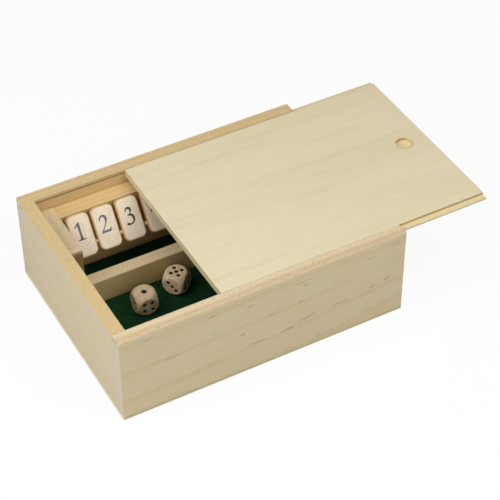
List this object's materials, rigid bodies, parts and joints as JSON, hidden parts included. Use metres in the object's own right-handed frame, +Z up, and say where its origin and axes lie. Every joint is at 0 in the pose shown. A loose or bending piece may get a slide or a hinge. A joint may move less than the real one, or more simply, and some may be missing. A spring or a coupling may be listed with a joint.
{
  "type": "shut the box game",
  "caption": "Low wooden box game: flip-down number tiles on a rod lean on a rail behind a felted dice bay, with wooden dice and a plywood lid that slides in side grooves.",
  "frame": {"origin": "middle of the flat underside of the bottom panel", "axes": "+X along the long side, the way the lid slides open; +Y from the front wall to the back wall; +Z up"},
  "size_m": [0.285, 0.1624, 0.071],
  "materials": {
    "wood": "smooth sanded softwood, thin matt lacquer",
    "panel": "thin plywood, matt",
    "board": "raw hardboard",
    "felt": "dark green wool felt",
    "rod": "plain birch dowel",
    "tile": "sanded beech, satin",
    "lid": "birch plywood, satin lacquer",
    "die": "turned and sanded hardwood, matt"
  },
  "bodies": {
    "box": {"front_wall": "wood", "back_wall": "wood", "left_wall": "wood", "right_wall": "wood", "bottom_panel": "panel", "dice_bay_board": "board", "dice_bay_felt": "felt", "tile_bay_board": "board", "tile_bay_felt": "felt", "divider": "wood", "rest_rail": "wood", "rod_block_left": "wood", "rod_block_right": "wood", "rod": "rod"},
    "tile_1": {"tile_1": "tile"},
    "tile_2": {"tile_2": "tile"},
    "tile_3": {"tile_3": "tile"},
    "tile_4": {"tile_4": "tile"},
    "tile_5": {"tile_5": "tile"},
    "tile_6": {"tile_6": "tile"},
    "tile_7": {"tile_7": "tile"},
    "tile_8": {"tile_8": "tile"},
    "tile_9": {"tile_9": "tile"},
    "lid": {"lid": "lid"},
    "die_1": {"die_1": "die"},
    "die_2": {"die_2": "die"}
  },
  "joints": [
    {"name": "tile_1_hinge", "type": "hinge", "parent": "box", "child": "tile_1", "pos_m": [0, 0.04355, 0.04164], "axis": [1, 0, 0], "range_deg": [0, 165]},
    {"name": "tile_2_hinge", "type": "hinge", "parent": "box", "child": "tile_2", "pos_m": [0, 0.04355, 0.04164], "axis": [1, 0, 0], "range_deg": [0, 165]},
    {"name": "tile_3_hinge", "type": "hinge", "parent": "box", "child": "tile_3", "pos_m": [0, 0.04355, 0.04164], "axis": [1, 0, 0], "range_deg": [0, 165]},
    {"name": "tile_4_hinge", "type": "hinge", "parent": "box", "child": "tile_4", "pos_m": [0, 0.04355, 0.04164], "axis": [1, 0, 0], "range_deg": [0, 165]},
    {"name": "tile_5_hinge", "type": "hinge", "parent": "box", "child": "tile_5", "pos_m": [0, 0.04355, 0.04164], "axis": [1, 0, 0], "range_deg": [0, 165]},
    {"name": "tile_6_hinge", "type": "hinge", "parent": "box", "child": "tile_6", "pos_m": [0, 0.04355, 0.04164], "axis": [1, 0, 0], "range_deg": [0, 165]},
    {"name": "tile_7_hinge", "type": "hinge", "parent": "box", "child": "tile_7", "pos_m": [0, 0.04355, 0.04164], "axis": [1, 0, 0], "range_deg": [0, 165]},
    {"name": "tile_8_hinge", "type": "hinge", "parent": "box", "child": "tile_8", "pos_m": [0, 0.04355, 0.04164], "axis": [1, 0, 0], "range_deg": [0, 165]},
    {"name": "tile_9_hinge", "type": "hinge", "parent": "box", "child": "tile_9", "pos_m": [0, 0.04355, 0.04164], "axis": [1, 0, 0], "range_deg": [0, 165]},
    {"name": "lid_slide", "type": "slide", "parent": "box", "child": "lid", "axis": [1, 0, 0], "range_m": [-0.069, 0.14]},
    {"name": "die_1_lift", "type": "slide", "parent": "box", "child": "die_1", "axis": [0, 0, 1], "range_m": [0, 0.11]},
    {"name": "die_2_lift", "type": "slide", "parent": "box", "child": "die_2", "axis": [-0.395, 0, 0.9187], "range_m": [0, 0.09]}
  ]
}
